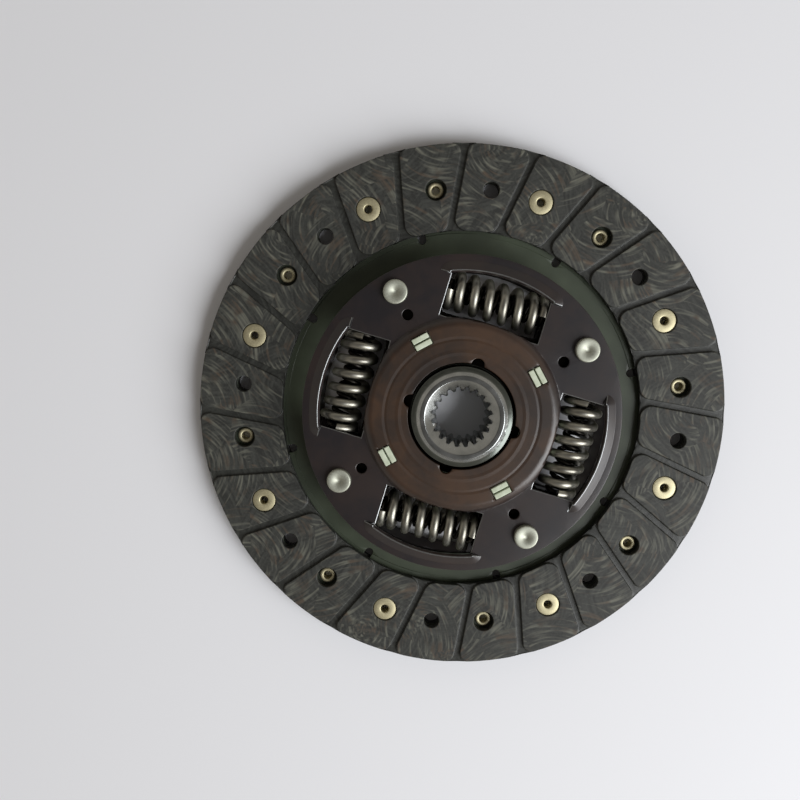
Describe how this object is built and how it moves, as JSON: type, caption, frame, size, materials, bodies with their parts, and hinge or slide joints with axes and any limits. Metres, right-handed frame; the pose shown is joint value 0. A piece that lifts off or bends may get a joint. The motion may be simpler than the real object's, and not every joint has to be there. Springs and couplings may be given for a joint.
{
  "type": "clutch disc",
  "caption": "Clutch friction disc: grooved facings riveted to a waved cushion plate, round a splined hub with a torsion damper of coil springs in lipped windows.",
  "frame": {"origin": "centre of the rear facing's face, at the bottom centre of the disc's box", "axes": "+Z along the hub's axis towards the disc's front; +Y through the middle of one spring window"},
  "size_m": [0.2, 0.2, 0.0233],
  "materials": {
    "friction_lining": "moulded fibre lining, ground and grooved",
    "cushion_steel": "olive oxide on thin spring steel",
    "rivet_metal": "pale rolled rivet",
    "plate_steel": "dark brown oxide on pressed steel",
    "pin_steel": "zinc plated, riveted head",
    "hub_steel": "turned and broached steel",
    "spring_steel": "oil tempered spring wire",
    "washer_nylon": "moulded pale nylon",
    "washer_steel": "rolled sheet steel"
  },
  "bodies": {
    "disc": {"front_facing": "friction_lining", "rear_facing": "friction_lining", "cushion_plate": "cushion_steel", "facing_rivets_front": "rivet_metal", "facing_rivets_rear": "rivet_metal", "front_plate": "plate_steel", "rear_plate": "plate_steel", "front_friction_washer": "washer_nylon", "rear_friction_washer": "washer_nylon", "thrust_plate": "washer_steel", "cone_spring_washer": "washer_steel", "stop_pin_1": "pin_steel", "stop_pin_2": "pin_steel", "stop_pin_3": "pin_steel", "stop_pin_4": "pin_steel"},
    "hub": {"splined_hub": "hub_steel"},
    "damper_springs": {"outer_spring_1": "spring_steel", "outer_spring_2": "spring_steel", "outer_spring_3": "spring_steel", "outer_spring_4": "spring_steel", "inner_spring_1": "spring_steel", "inner_spring_2": "spring_steel", "inner_spring_3": "spring_steel", "inner_spring_4": "spring_steel"}
  },
  "joints": [
    {"name": "hub_turn", "type": "hinge", "parent": "disc", "child": "hub", "pos_m": [0, 0, 0.0098], "axis": [0, 0, 1], "range_deg": [-8, 8], "stiffness_Nm_per_rad": 2},
    {"name": "spring_turn", "type": "hinge", "parent": "disc", "child": "damper_springs", "pos_m": [0, 0, 0.0098], "axis": [0, 0, 1], "range_deg": [-4, 4], "deforming": ["outer_spring_1", "outer_spring_2", "outer_spring_3", "outer_spring_4", "inner_spring_1", "inner_spring_2", "inner_spring_3", "inner_spring_4"]}
  ],
  "couplings": [
    {"joint": "spring_turn", "follows": "hub_turn", "ratio": 0.5}
  ]
}
